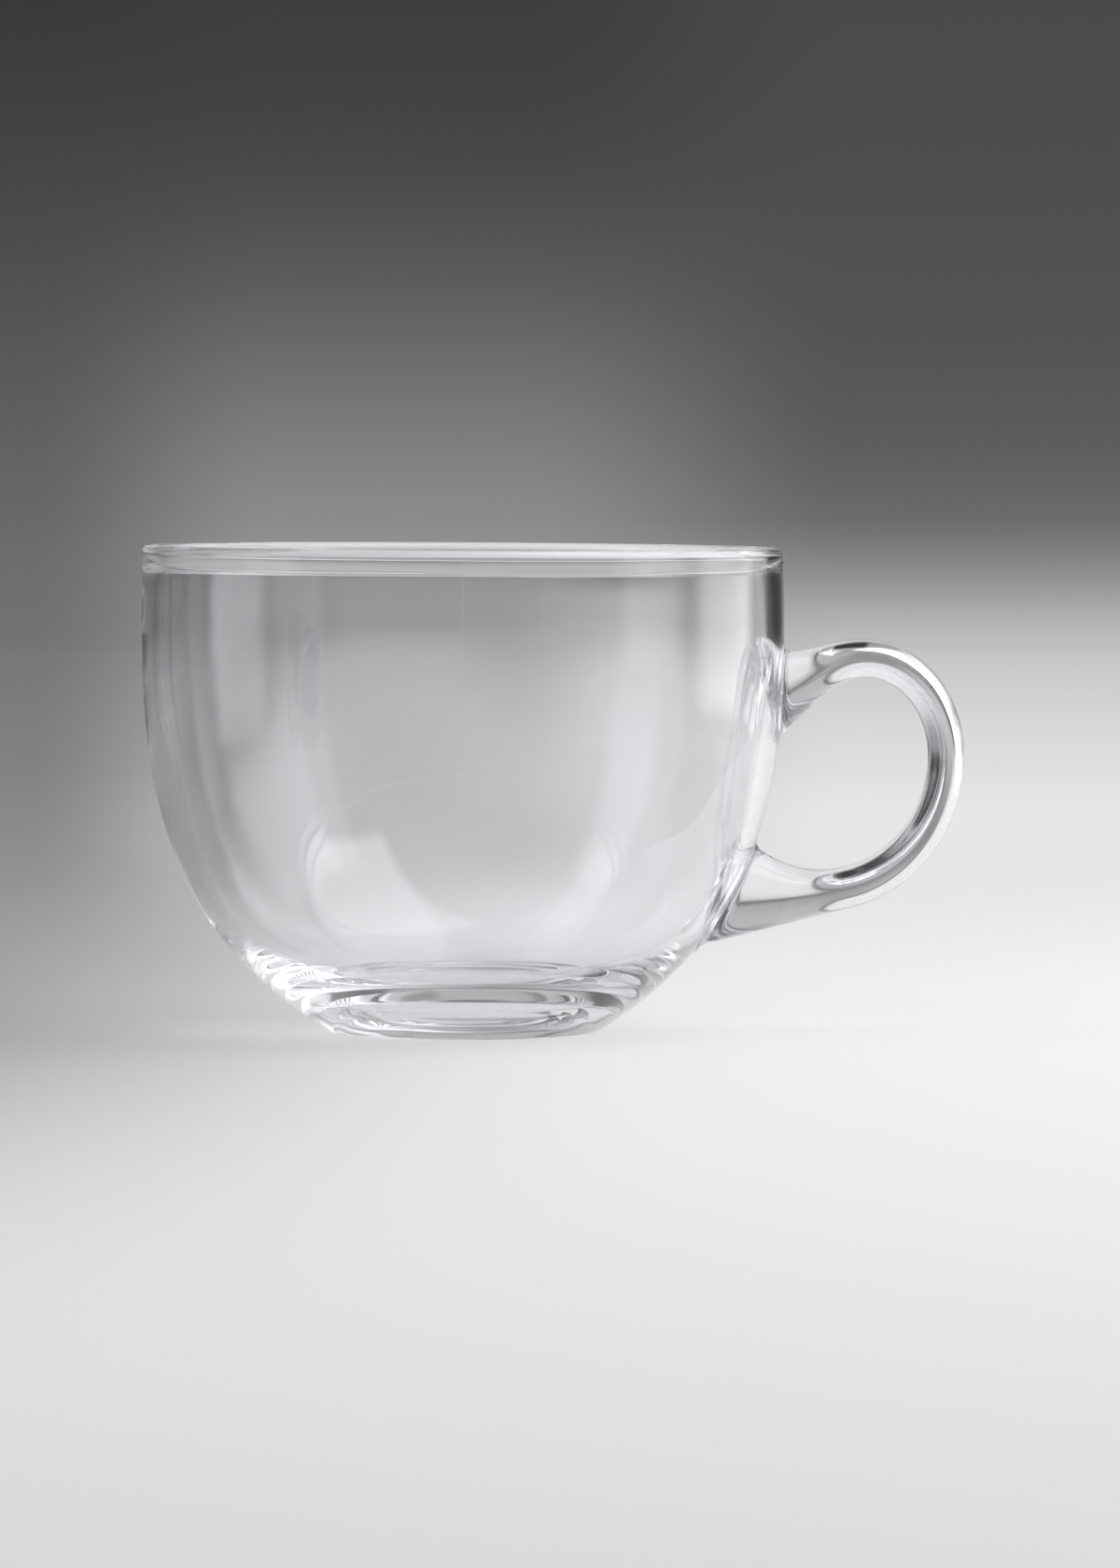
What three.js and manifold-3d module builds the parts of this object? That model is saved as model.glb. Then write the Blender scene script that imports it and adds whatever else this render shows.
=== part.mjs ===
// Glass latte cup: a blown bowl with a thick base, and a pressed loop handle sealed on at two roots.
// Millimetres, +Z up. The origin is the middle of the cup's footprint, on the table.
import * as THREE from "three";
import { mergeVertices } from "three/addons/utils/BufferGeometryUtils.js";
import Module from "manifold-3d";

// Bowl outside
const RIM_DIAMETER = 112;
const CUP_HEIGHT = 85;
const STRAIGHT_BAND = 13.4;
const FOOT_DIAMETER = 45.6;
const FOOT_ROUND = 2.5;
const FOOT_SLOPE = THREE.MathUtils.degToRad(31.7);
const BEARING_WIDTH = 4.6;
const PUNT_DEPTH = 1.8;

// Bowl inside
const WALL = 2.4;
const RIM_BEAD = 0.3;
const RIM_BEAD_HEIGHT = 3.5;
const FLOOR_THICKNESS = 6.5;
const FLOOR_INSET = 7.2;

// Shape factors of the side curves: how far each end tangent reaches, as a share of its span
const SHOULDER_FULLNESS = 0.353;
const FOOT_FULLNESS = 1.052;
const INNER_SHOULDER_FULLNESS = 0.723;
const FLOOR_FULLNESS = 0.563;

// Handle loop: distances out are from the rim's radius, heights are from the table
const HANDLE_WIDTH = 15.5;
const CROWN_OUT = 14;
const BELLY_OUT = 6.4;
const GAP_DEPTH = 25.1;
const GAP_TOP = 61.7;
const GAP_BOTTOM = 28.3;
const SIDE_HEIGHT = 48.2;
const CROWN_THICKNESS = 6.8;
const SIDE_THICKNESS = 6.3;
const BELLY_THICKNESS = 7.3;

// Squareness of the loop's oval section: 2 is a plain ellipse, more is nearer a rectangle
const OUTER_SQUARENESS = 2.65;
const INNER_SQUARENESS = 1.9;

// Handle roots
const UPPER_ROOT_TOP = 66.3;
const UPPER_ROOT_BOTTOM = 51.6;
const LOWER_ROOT_BOTTOM = 14.2;
const ROOT_FILLET = 1.2;
const ROOT_EMBED = 2.5;
const SEAL_GAP = 0.3;

// Facets
const AROUND_BOWL = 80;
const SIDE_STEPS = 16;
const ROUND_STEPS = 4;
const OVAL_STEPS = 5;
const ROOT_STEPS = 12;
const LOOP_STEPS = 12;

const BOWL_RADIUS = RIM_DIAMETER / 2;
const CURVE_TOP = CUP_HEIGHT - STRAIGHT_BAND;
const HANDLE_REACH = GAP_DEPTH + SIDE_THICKNESS;

const wasm = await Module();
wasm.setup();

const at = (r, z) => new THREE.Vector2(r, z);

const arc = (centre, radius, from, to, steps) =>
  new THREE.EllipseCurve(centre.x, centre.y, radius, radius, from, to, to < from).getPoints(steps);

// The bowl's outer side, from the foot's round edge up to the straight band
function outerSideCurve() {
  const footRadius = FOOT_DIAMETER / 2;
  const start = at(
    footRadius + FOOT_ROUND * Math.sin(FOOT_SLOPE),
    FOOT_ROUND * (1 - Math.cos(FOOT_SLOPE)),
  );
  const end = at(BOWL_RADIUS, CURVE_TOP);
  const footPull = FOOT_FULLNESS * (BOWL_RADIUS - footRadius);
  const shoulderPull = SHOULDER_FULLNESS * CURVE_TOP;
  return new THREE.CubicBezierCurve(
    start,
    at(start.x + footPull * Math.cos(FOOT_SLOPE), start.y + footPull * Math.sin(FOOT_SLOPE)),
    at(end.x, end.y - shoulderPull),
    end,
  );
}

// The bowl's inner side, from the straight band down to the level floor
function innerSideCurve() {
  const start = at(BOWL_RADIUS - WALL, CURVE_TOP);
  const end = at(FOOT_DIAMETER / 2 - FLOOR_INSET, FLOOR_THICKNESS);
  const shoulderPull = INNER_SHOULDER_FULLNESS * (start.y - end.y);
  const floorPull = FLOOR_FULLNESS * (start.x - end.x);
  return new THREE.CubicBezierCurve(
    start,
    at(start.x, start.y - shoulderPull),
    at(end.x + floorPull, end.y),
    end,
  );
}

const outerSide = outerSideCurve().getPoints(SIDE_STEPS);

// Foot: a shallow push-up inside a flat bearing ring with a rounded outer edge
function footProfile() {
  const ringOutside = FOOT_DIAMETER / 2;
  const ringInside = ringOutside - BEARING_WIDTH;
  const domeRadius = (ringInside ** 2 + PUNT_DEPTH ** 2) / (2 * PUNT_DEPTH);
  const halfAngle = Math.asin(ringInside / domeRadius);
  const dome = arc(
    at(0, PUNT_DEPTH - domeRadius),
    domeRadius,
    Math.PI / 2,
    Math.PI / 2 - halfAngle,
    ROUND_STEPS,
  );
  dome[0].x = 0;
  const edge = arc(
    at(ringOutside, FOOT_ROUND),
    FOOT_ROUND,
    -Math.PI / 2,
    -Math.PI / 2 + FOOT_SLOPE,
    ROUND_STEPS,
  );
  return [...dome, ...edge.slice(0, -1)];
}

// Rim: a full round on a slight inward bead, easing back into the wall below it
function rimProfile() {
  const beadWall = WALL + RIM_BEAD;
  const round = beadWall / 2;
  const lip = arc(at(BOWL_RADIUS - round, CUP_HEIGHT - round), round, 0, Math.PI, 2 * ROUND_STEPS);
  const beadTop = at(BOWL_RADIUS - beadWall, CUP_HEIGHT - round);
  const beadFoot = at(BOWL_RADIUS - WALL, CUP_HEIGHT - round - RIM_BEAD_HEIGHT);
  const middle = (beadTop.y + beadFoot.y) / 2;
  const ease = new THREE.CubicBezierCurve(
    beadTop,
    at(beadTop.x, middle),
    at(beadFoot.x, middle),
    beadFoot,
  );
  return [...lip, ...ease.getPoints(ROUND_STEPS).slice(1)];
}

function bowlGeometry() {
  const inside = innerSideCurve().getPoints(SIDE_STEPS);
  const profile = [
    ...footProfile(),
    ...outerSide,
    ...rimProfile(),
    ...inside,
    at(0, FLOOR_THICKNESS),
  ];
  return new THREE.LatheGeometry(profile, AROUND_BOWL).rotateX(Math.PI / 2);
}

// The bowl's outer form grown by the sealing gap, as a solid plug that shapes the handle's seats
function seatPlugGeometry() {
  const grown = outerSide.map((point, index) => {
    const before = outerSide[Math.max(index - 1, 0)];
    const after = outerSide[Math.min(index + 1, outerSide.length - 1)];
    const along = after.clone().sub(before).normalize();
    return at(point.x + SEAL_GAP * along.y, point.y - SEAL_GAP * along.x);
  });
  const profile = [
    at(0, grown[0].y),
    ...grown,
    at(BOWL_RADIUS + SEAL_GAP, CUP_HEIGHT),
    at(0, CUP_HEIGHT),
  ];
  return new THREE.LatheGeometry(profile, AROUND_BOWL).rotateX(Math.PI / 2);
}

// The outer wall's radius and its slope from the vertical at a height above the table
function wallAt(height) {
  const upper = outerSide.findIndex((point) => point.y >= height);
  if (upper === -1) {
    return { radius: BOWL_RADIUS, slope: 0 };
  }
  const high = outerSide[Math.max(upper, 1)];
  const low = outerSide[Math.max(upper, 1) - 1];
  const share = (height - low.y) / (high.y - low.y);
  return {
    radius: low.x + share * (high.x - low.x),
    slope: Math.atan2(high.x - low.x, high.y - low.y),
  };
}

const insideWall = (height) => at(wallAt(height).radius - ROOT_EMBED, height);

// A share of a root curve, with the steps drawn close together near the wall
const rootShares = Array.from({ length: ROOT_STEPS }, (_, step) => (step / ROOT_STEPS) ** 1.6);

// One quarter of an ellipse about a centre, both ends included
function quarter(centre, halfWidth, halfHeight, from, to) {
  const curve = new THREE.EllipseCurve(centre.x, centre.y, halfWidth, halfHeight, from, to, true);
  return curve.getPoints(LOOP_STEPS);
}

// The loop's outer edge in side view, from the upper root over the crown to the lower root
function outerEdge() {
  const crown = at(BOWL_RADIUS + CROWN_OUT, GAP_TOP + CROWN_THICKNESS);
  const belly = at(BOWL_RADIUS + BELLY_OUT, GAP_BOTTOM - BELLY_THICKNESS);
  const sideOut = BOWL_RADIUS + HANDLE_REACH;
  const upperRoot = insideWall(UPPER_ROOT_TOP);
  const neck = new THREE.CubicBezierCurve(
    upperRoot,
    at(BOWL_RADIUS + CROWN_OUT / 2, UPPER_ROOT_TOP),
    at(BOWL_RADIUS + CROWN_OUT / 2, crown.y),
    crown,
  );
  const lowerRoot = insideWall(LOWER_ROOT_BOTTOM);
  const halfWidth = sideOut - belly.x;
  const halfHeight = SIDE_HEIGHT - belly.y;
  const tailSlope = (belly.y - lowerRoot.y) / (belly.x - lowerRoot.x);
  const tailTurn = Math.atan((tailSlope * halfWidth) / halfHeight);
  const top = quarter(at(crown.x, SIDE_HEIGHT), sideOut - crown.x, crown.y - SIDE_HEIGHT, Math.PI / 2, 0);
  const bottom = quarter(at(belly.x, SIDE_HEIGHT), halfWidth, halfHeight, 0, tailTurn - Math.PI / 2);
  const tail = new THREE.LineCurve(lowerRoot, bottom.at(-1));
  return [
    ...rootShares.map((share) => neck.getPoint(share)),
    ...top,
    ...bottom.slice(1),
    ...rootShares.map((share) => tail.getPoint(share)).reverse(),
  ];
}

// The edge of the finger gap in side view, matching the outer edge point for point
function innerEdge() {
  const crown = at(BOWL_RADIUS + CROWN_OUT, GAP_TOP);
  const belly = at(BOWL_RADIUS + BELLY_OUT, GAP_BOTTOM);
  const sideOut = BOWL_RADIUS + GAP_DEPTH;
  const upperRoot = at(wallAt(UPPER_ROOT_BOTTOM).radius - ROOT_EMBED, UPPER_ROOT_BOTTOM - ROOT_EMBED);
  const throat = new THREE.CubicBezierCurve(
    upperRoot,
    at(BOWL_RADIUS + CROWN_OUT / 3, UPPER_ROOT_BOTTOM + CROWN_OUT / 3),
    at(BOWL_RADIUS + CROWN_OUT * 0.6, crown.y),
    crown,
  );
  const halfWidth = sideOut - belly.x;
  const halfHeight = SIDE_HEIGHT - belly.y;
  const top = quarter(at(crown.x, SIDE_HEIGHT), sideOut - crown.x, crown.y - SIDE_HEIGHT, Math.PI / 2, 0);
  const bottom = quarter(at(belly.x, SIDE_HEIGHT), halfWidth, halfHeight, 0, -Math.PI / 2);
  const wallTurn = Math.asin(Math.min((BELLY_OUT + 3 * ROOT_EMBED) / halfWidth, 1));
  const tail = rootShares.map((share) => {
    const turn = -Math.PI / 2 - wallTurn * (1 - share);
    return at(belly.x + halfWidth * Math.cos(turn), SIDE_HEIGHT + halfHeight * Math.sin(turn));
  });
  return [
    ...rootShares.map((share) => throat.getPoint(share)),
    ...top,
    ...bottom.slice(1),
    ...tail.reverse(),
  ];
}

// How far the root's fillet stands out at a clearance from the wall
function filletAt(clearance) {
  const rise = THREE.MathUtils.clamp(ROOT_FILLET - clearance, 0, ROOT_FILLET);
  return ROOT_FILLET - Math.sqrt(ROOT_FILLET ** 2 - rise ** 2);
}

// A signed power, which keeps the side of the section that a value lies on
const signedPower = (value, power) => Math.sign(value) * Math.abs(value) ** power;

// One oval section of the loop, spread by the fillet where it nears the wall
function handleSection(outer, inner) {
  const across = outer.clone().sub(inner);
  const halfDepth = across.length() / 2;
  const halfWidth = HANDLE_WIDTH / 2;
  across.normalize();
  const middle = outer.clone().add(inner).multiplyScalar(0.5);
  return Array.from({ length: 4 * OVAL_STEPS }, (_, step) => {
    const turn = ((step / OVAL_STEPS) * Math.PI) / 2;
    const outwards = Math.cos(turn);
    const sideways = Math.sin(turn);
    const power = 2 / (outwards > 0 ? OUTER_SQUARENESS : INNER_SQUARENESS);
    const depth = halfDepth * signedPower(outwards, power);
    const width = halfWidth * signedPower(sideways, power);
    const normal = at(
      signedPower(outwards, 2 - power) / halfDepth,
      signedPower(sideways, 2 - power) / halfWidth,
    ).normalize();
    const plain = new THREE.Vector3(middle.x + across.x * depth, width, middle.y + across.y * depth);
    const wall = wallAt(plain.z);
    const clearance = (Math.hypot(plain.x, plain.y) - wall.radius) * Math.cos(wall.slope);
    const spread = filletAt(clearance);
    plain.x += across.x * normal.x * spread;
    plain.y += normal.y * spread;
    plain.z += across.y * normal.x * spread;
    return plain;
  });
}

// Skin a row of closed sections and cap both ends
function loftGeometry(sections) {
  const count = sections[0].length;
  const points = sections.flat();
  const last = sections.length - 1;
  const faces = [];
  for (let row = 0; row < last; row += 1) {
    for (let step = 0; step < count; step += 1) {
      const next = (step + 1) % count;
      const near = row * count;
      const far = near + count;
      faces.push(near + step, far + step, far + next);
      faces.push(near + step, far + next, near + next);
    }
  }
  for (let step = 1; step < count - 1; step += 1) {
    faces.push(0, step, step + 1);
    faces.push(last * count, last * count + step + 1, last * count + step);
  }
  const geometry = new THREE.BufferGeometry().setFromPoints(points);
  geometry.setIndex(faces);
  return geometry;
}

function solidOf(geometry) {
  const bare = geometry.clone();
  bare.deleteAttribute("normal");
  bare.deleteAttribute("uv");
  const merged = mergeVertices(bare);
  return new wasm.Manifold(
    new wasm.Mesh({
      numProp: 3,
      vertProperties: new Float32Array(merged.attributes.position.array),
      triVerts: new Uint32Array(merged.index.array),
    }),
  );
}

function geometryOf(solid) {
  const mesh = solid.getMesh();
  const geometry = new THREE.BufferGeometry();
  geometry.setAttribute("position", new THREE.BufferAttribute(mesh.vertProperties, 3));
  geometry.setIndex(new THREE.BufferAttribute(mesh.triVerts, 1));
  geometry.computeVertexNormals();
  return geometry;
}

// Handle: lofted between its two edges, then seated on the bowl's outer wall
function handleGeometry() {
  const inner = innerEdge();
  const sections = outerEdge().map((point, index) => handleSection(point, inner[index]));
  const loop = solidOf(loftGeometry(sections));
  return geometryOf(loop.subtract(solidOf(seatPlugGeometry())));
}

function glass(colour) {
  return new THREE.MeshStandardMaterial({
    color: colour,
    roughness: 0.05,
    metalness: 0,
    transparent: true,
    opacity: 0.35,
  });
}

function namedMesh(name, geometry, material) {
  const mesh = new THREE.Mesh(geometry, material);
  mesh.name = name;
  return mesh;
}

const cup = new THREE.Group();
cup.position.x = -HANDLE_REACH / 2;
cup.add(namedMesh("bowl", bowlGeometry(), glass("#dfe5e6")));
cup.add(namedMesh("handle", handleGeometry(), glass("#d3dddd")));

export default cup;
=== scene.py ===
"""Dress a glass latte cup: a blown bowl with a sealed-on loop handle, in a plain pale studio."""

import logging
import math
from bisect import bisect_left
from dataclasses import dataclass
from enum import Enum
from functools import cached_property
from typing import Sequence

import bpy
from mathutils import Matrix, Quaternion, Vector


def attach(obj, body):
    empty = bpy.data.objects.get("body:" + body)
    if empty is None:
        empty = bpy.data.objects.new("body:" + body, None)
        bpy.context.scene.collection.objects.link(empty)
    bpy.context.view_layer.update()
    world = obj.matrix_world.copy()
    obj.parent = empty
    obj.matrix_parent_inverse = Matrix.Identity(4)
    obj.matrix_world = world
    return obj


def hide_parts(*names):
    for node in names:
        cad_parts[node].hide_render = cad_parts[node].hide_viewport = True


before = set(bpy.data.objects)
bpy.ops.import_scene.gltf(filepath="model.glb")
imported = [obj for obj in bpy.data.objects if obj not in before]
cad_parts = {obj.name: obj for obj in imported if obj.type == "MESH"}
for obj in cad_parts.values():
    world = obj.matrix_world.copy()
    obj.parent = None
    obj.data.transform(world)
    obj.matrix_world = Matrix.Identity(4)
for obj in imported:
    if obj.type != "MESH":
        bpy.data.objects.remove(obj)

LOG = logging.getLogger("latte_cup")
MM = 0.001
BODY = "root"
GLASS_BOUNCES = 96

Point = tuple[float, float]
Socket = bpy.types.NodeSocket
Values = dict[str, float]


class Zone(Enum):
    """Which surface of the bowl a row of its profile lies on."""

    FOOT = "foot"
    OUTSIDE = "outside"
    RIM = "rim"
    INSIDE = "inside"


@dataclass(frozen=True)
class ProfileRow:
    """One ring of the bowl: its radius and height in millimetres, and the surface it lies on."""

    radius: float
    height: float
    zone: Zone


@dataclass(frozen=True)
class Wave:
    """One wave round the bowl: height in millimetres, count, start in radians and twist per millimetre up."""

    height: float
    count: int
    start: float
    twist: float = 0.0

    def at(self, angle: float, level: float) -> float:
        """Return the wave's height at an angle about the axis and a level above the table."""
        return self.height * math.sin(self.count * angle + self.start + self.twist * level)


def blend(low: float, high: float, share: float) -> float:
    """Return the value a share of the way from low to high."""
    return low + (high - low) * share


def smooth_step(low: float, high: float, value: float) -> float:
    """Ease from 0 at low to 1 at high.

    Args:
        low: The value where the step starts.
        high: The value where the step ends.
        value: The value to ease.

    Returns:
        A share from 0 to 1 with a level start and end.
    """
    share = min(max((value - low) / (high - low), 0.0), 1.0)
    return share * share * (3 - 2 * share)


def signed_power(value: float, power: float) -> float:
    """Raise a value's size to a power and keep its sign."""
    return math.copysign(abs(value) ** power, value)


def cubic(points: Sequence[Point], share: float) -> Point:
    """Evaluate a cubic curve of four control points.

    Args:
        points: The four control points.
        share: How far along the curve, from 0 to 1.

    Returns:
        The point on the curve.
    """
    rest = 1 - share
    weights = (rest**3, 3 * share * rest**2, 3 * share**2 * rest, share**3)
    return (
        sum(w * p[0] for w, p in zip(weights, points)),
        sum(w * p[1] for w, p in zip(weights, points)),
    )


def arc(centre: Point, radius: float, start: float, end: float, steps: int) -> list[Point]:
    """Return the points of an arc, both ends included.

    Args:
        centre: The arc's centre.
        radius: The arc's radius.
        start: The angle of the first point, in radians.
        end: The angle of the last point, in radians.
        steps: The number of equal steps.

    Returns:
        The points in order.
    """
    turns = [blend(start, end, step / steps) for step in range(steps + 1)]
    return [(centre[0] + radius * math.cos(a), centre[1] + radius * math.sin(a)) for a in turns]


def mesh_object(name: str, vertices: Sequence[Vector], faces: Sequence[Sequence[int]]) -> bpy.types.Object:
    """Make a smooth-shaded object from vertices and faces.

    Args:
        name: The piece's name.
        vertices: The vertices, in metres.
        faces: The faces, as lists of vertex numbers.

    Returns:
        The object, linked to the scene.
    """
    mesh = bpy.data.meshes.new(name)
    mesh.from_pydata([tuple(v) for v in vertices], [], [tuple(f) for f in faces])
    mesh.validate()
    mesh.polygons.foreach_set("use_smooth", [True] * len(mesh.polygons))
    piece = bpy.data.objects.new(name, mesh)
    bpy.context.scene.collection.objects.link(piece)
    return piece


def bridge(rings: Sequence[Sequence[int]], flip: bool = False) -> list[list[int]]:
    """Join rings of vertices with faces, each ring to the next.

    Args:
        rings: The rings, as vertex numbers. A ring at a point repeats one number.
        flip: Turn the faces the other way.

    Returns:
        The faces.
    """
    faces = []
    for near, far in zip(rings, rings[1:]):
        for step in range(len(near)):
            after = (step + 1) % len(near)
            corners = (near[step], far[step], far[after], near[after])
            if flip:
                corners = (near[step], near[after], far[after], far[step])
            faces.append(list(dict.fromkeys(corners)))
    return faces


@dataclass
class Bowl:
    """The vessel: foot, rounded side, straight band and polished rim, in millimetres."""

    rim_diameter: float = 112.0
    height: float = 85.0
    straight_band: float = 13.4
    foot_diameter: float = 45.6
    foot_round: float = 2.5
    foot_slope: float = math.radians(31.7)
    bearing_width: float = 4.6
    punt_depth: float = 1.8
    wall: float = 2.4
    rim_bead: float = 0.3
    rim_bead_height: float = 3.5
    floor_thickness: float = 6.5
    floor_inset: float = 7.2
    shoulder_fullness: float = 0.353
    foot_fullness: float = 1.052
    inner_shoulder_fullness: float = 0.723
    floor_fullness: float = 0.563
    axis_x: float = -15.7
    lip_drop: float = 0.6
    bead_step: float = 0.06
    bead_offset: float = 0.25
    bead_margin: float = 0.5
    bead_fade: Point = (0.6, 1.0)
    bead_run: tuple[Wave, ...] = (Wave(0.55, 3, 2.0976), Wave(0.16, 7, 0.9))
    inside_run: tuple[Wave, ...] = (Wave(0.03, 4, 0.0, 0.11), Wave(0.03, 7, 1.3, -0.17))
    inside_run_heights: Point = (20.0, 45.0)
    around: int = 256
    side_steps: int = 72
    push_up_steps: int = 18
    edge_steps: int = 8
    lip_steps: int = 20
    ease_steps: int = 10
    band_steps: int = 8
    bead_steps: int = 4
    table_steps: int = 2000
    ring_shares: tuple[float, ...] = (0.04, 0.5, 0.96)
    bead_shares: tuple[float, ...] = (-1.0, -0.48, 0.0, 0.48, 1.0)
    floor_shares: tuple[float, ...] = (0.8, 0.6, 0.4, 0.2, 0.08, 0.0)

    @property
    def radius(self) -> float:
        """The outer radius of the straight band."""
        return self.rim_diameter / 2

    @property
    def curve_top(self) -> float:
        """The height where the rounded side meets the straight band."""
        return self.height - self.straight_band

    def outer_curve(self) -> list[Point]:
        """Return the control points of the outer side, from the foot up."""
        foot = self.foot_diameter / 2
        start = (
            foot + self.foot_round * math.sin(self.foot_slope),
            self.foot_round * (1 - math.cos(self.foot_slope)),
        )
        pull = self.foot_fullness * (self.radius - foot)
        return [
            start,
            (start[0] + pull * math.cos(self.foot_slope), start[1] + pull * math.sin(self.foot_slope)),
            (self.radius, self.curve_top * (1 - self.shoulder_fullness)),
            (self.radius, self.curve_top),
        ]

    def inner_curve(self) -> list[Point]:
        """Return the control points of the inner side, from the band down to the floor."""
        top = (self.radius - self.wall, self.curve_top)
        floor = (self.foot_diameter / 2 - self.floor_inset, self.floor_thickness)
        return [
            top,
            (top[0], top[1] - self.inner_shoulder_fullness * (top[1] - floor[1])),
            (floor[0] + self.floor_fullness * (top[0] - floor[0]), floor[1]),
            floor,
        ]

    @cached_property
    def wall_table(self) -> list[tuple[float, float, float]]:
        """Height, radius and slope from the vertical at close steps up the outer wall."""
        points = self.outer_curve()
        steps = self.table_steps
        places = [cubic(points, step / steps) for step in range(steps + 1)]
        table = []
        for low, high in zip(places, places[1:]):
            table.append((low[1], low[0], math.atan2(high[0] - low[0], high[1] - low[1])))
        table.append((self.curve_top, self.radius, 0.0))
        return table

    def wall_at(self, height: float) -> tuple[float, float]:
        """Look up the outer wall.

        Args:
            height: The height above the table, in millimetres.

        Returns:
            The wall's radius and its slope from the vertical.
        """
        table = self.wall_table
        index = min(max(bisect_left(table, (height,)), 1), len(table) - 1)
        low, high = table[index - 1], table[index]
        share = min(max((height - low[0]) / (high[0] - low[0]), 0.0), 1.0)
        return blend(low[1], high[1], share), blend(low[2], high[2], share)

    def clearance(self, place: Vector) -> float:
        """Measure how far a place lies outside the outer wall.

        Args:
            place: A point about the bowl's own axis, in millimetres.

        Returns:
            The distance square to the wall, negative inside it.
        """
        radius, slope = self.wall_at(place.z)
        return (math.hypot(place.x, place.y) - radius) * math.cos(slope)

    def foot_rows(self) -> list[Point]:
        """Return the push-up under the foot, the bearing ring and its rounded edge."""
        outside = self.foot_diameter / 2
        inside = outside - self.bearing_width
        dome = (inside**2 + self.punt_depth**2) / (2 * self.punt_depth)
        half_angle = math.asin(inside / dome)
        centre = (0.0, self.punt_depth - dome)
        up = math.pi / 2
        push_up = arc(centre, dome, up, up - half_angle, self.push_up_steps)
        ring = [(blend(inside, outside, share), 0.0) for share in self.ring_shares]
        edge = arc((outside, self.foot_round), self.foot_round, -up, -up + self.foot_slope, self.edge_steps)
        return [(0.0, self.punt_depth), *push_up[1:], *ring, *edge[:-1]]

    def rim_rows(self) -> list[Point]:
        """Return the rounded lip and the bead that eases back into the inner wall."""
        bead_wall = self.wall + self.rim_bead
        lip_radius = bead_wall / 2
        top = self.height - lip_radius
        lip = arc((self.radius - lip_radius, top), lip_radius, 0.0, math.pi, self.lip_steps)
        bottom = top - self.rim_bead_height
        shares = [step / self.ease_steps for step in range(1, self.ease_steps + 1)]
        ease = [
            (
                blend(self.radius - bead_wall, self.radius - self.wall, smooth_step(0, 1, share)),
                blend(top, bottom, share),
            )
            for share in shares
        ]
        return [*lip, *ease]

    def band_rows(self) -> list[Point]:
        """Return the straight band outside, with close rows where the polished bead ends."""
        bead_line = self.height - self.rim_bead_height
        top = self.height - (self.wall + self.rim_bead) / 2
        low, high = bead_line - self.bead_margin, bead_line + self.bead_margin
        below = [blend(self.curve_top, low, step / self.band_steps) for step in range(1, self.band_steps + 1)]
        near = [bead_line + self.bead_offset * share for share in self.bead_shares]
        above = [blend(high, top, step / self.bead_steps) for step in range(self.bead_steps)]
        return [(self.radius, height) for height in (*below, *near, *above)]

    def rows(self) -> list[ProfileRow]:
        """Return every ring of the bowl, from the axis underneath to the axis on the floor."""
        shares = [step / self.side_steps for step in range(self.side_steps + 1)]
        outside = [cubic(self.outer_curve(), share) for share in shares]
        inside = [cubic(self.inner_curve(), share) for share in shares]
        floor_edge = inside[-1][0]
        floor = [(floor_edge * share, self.floor_thickness) for share in self.floor_shares]
        stretches = (
            (Zone.FOOT, self.foot_rows()),
            (Zone.OUTSIDE, outside + self.band_rows()),
            (Zone.RIM, self.rim_rows()),
            (Zone.INSIDE, inside + floor),
        )
        return [ProfileRow(r, z, zone) for zone, points in stretches for r, z in points]

    def drift(self, row: ProfileRow, angle: float) -> Point:
        """Return how far hot glass has run from the true form at one place.

        Args:
            row: The ring of the bowl.
            angle: The direction about the axis, from the handle.

        Returns:
            The shift in radius and in height, in millimetres.
        """
        shift_r = 0.0
        bead_line = self.height - self.rim_bead_height
        near_rim = smooth_step(self.curve_top, bead_line, row.height)
        drop = smooth_step(self.curve_top, self.height, row.height)
        shift_z = -self.lip_drop * (1 + math.cos(angle)) / 2 * drop
        if row.zone is Zone.OUTSIDE:
            fade = smooth_step(bead_line + self.bead_fade[0], self.height - self.bead_fade[1], row.height)
            shift_z += sum(wave.at(angle, 0.0) for wave in self.bead_run) * near_rim * (1 - fade)
            bead = smooth_step(bead_line - self.bead_offset, bead_line + self.bead_offset, row.height)
            shift_r -= self.bead_step * (1 - bead) * near_rim
        if row.zone is Zone.INSIDE:
            run = sum(wave.at(angle, row.height) for wave in self.inside_run)
            shift_r += run * smooth_step(*self.inside_run_heights, row.height)
        return shift_r, shift_z

    def build(self) -> bpy.types.Object:
        """Revolve the profile into a closed shell.

        Returns:
            The bowl, in the part's frame.
        """
        vertices: list[Vector] = []
        rings: list[list[int]] = []
        for row in self.rows():
            start = len(vertices)
            on_axis = row.radius == 0
            count = 1 if on_axis else self.around
            for step in range(count):
                angle = 2 * math.pi * step / self.around
                shift_r, shift_z = (0.0, 0.0) if on_axis else self.drift(row, angle)
                radius = row.radius + shift_r
                place = Vector((radius * math.cos(angle), radius * math.sin(angle), row.height + shift_z))
                vertices.append((place + Vector((self.axis_x, 0, 0))) * MM)
            rings.append([start + step % count for step in range(self.around)])
        return mesh_object("cup_bowl", vertices, bridge(rings, flip=True))


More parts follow.
